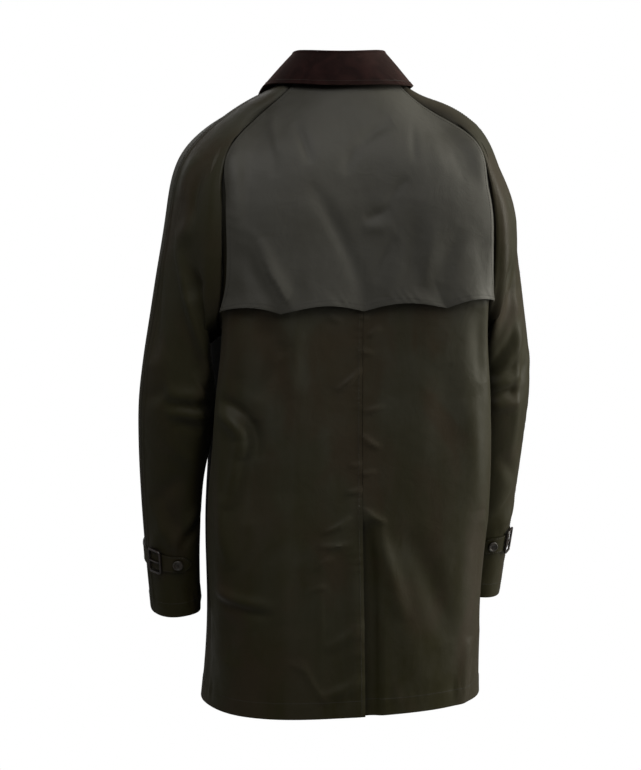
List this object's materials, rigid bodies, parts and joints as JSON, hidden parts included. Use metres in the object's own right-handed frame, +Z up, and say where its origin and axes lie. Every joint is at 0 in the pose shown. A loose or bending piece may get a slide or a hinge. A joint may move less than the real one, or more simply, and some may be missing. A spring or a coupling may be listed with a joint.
{
  "type": "trench coat",
  "caption": "Hollow three-quarter waxed coat in its wearer's pose: raglan sleeves, corduroy collar, scalloped storm cape, centre back vent and buckled cuff straps.",
  "frame": {"origin": "middle of the neck opening, at the height of the collar seam at the centre back, where the wearer's neck and shoulders carry the coat", "axes": "+Z up the wearer's spine; -Y the way the coat faces, so the back is towards +Y; +X towards the wearer's left sleeve"},
  "size_m": [0.5608, 0.3102, 0.9098],
  "materials": {
    "waxed_cotton": "dark olive waxed cotton, low uneven wax sheen",
    "waxed_cotton_rubbed": "the same cotton with a greyer bloom of wax",
    "corduroy": "dark brown fine-rib corduroy",
    "horn": "dark brown imitation horn",
    "buckle": "dark brown moulded frame"
  },
  "bodies": {
    "root": {"back_left": "waxed_cotton", "back_right": "waxed_cotton", "front_left": "waxed_cotton", "front_right": "waxed_cotton", "sleeve_back_left": "waxed_cotton", "sleeve_back_right": "waxed_cotton", "sleeve_front_left": "waxed_cotton", "sleeve_front_right": "waxed_cotton", "cuff_strap_left": "waxed_cotton", "cuff_strap_right": "waxed_cotton", "storm_cape": "waxed_cotton_rubbed", "collar_stand": "corduroy", "collar_fall": "corduroy", "buckle_left": "buckle", "buckle_right": "buckle", "buckle_prong_left": "buckle", "buckle_prong_right": "buckle", "cuff_button_left": "horn", "cuff_button_right": "horn", "front_button_1": "horn", "front_button_2": "horn", "front_button_3": "horn", "front_button_4": "horn"}
  },
  "joints": []
}
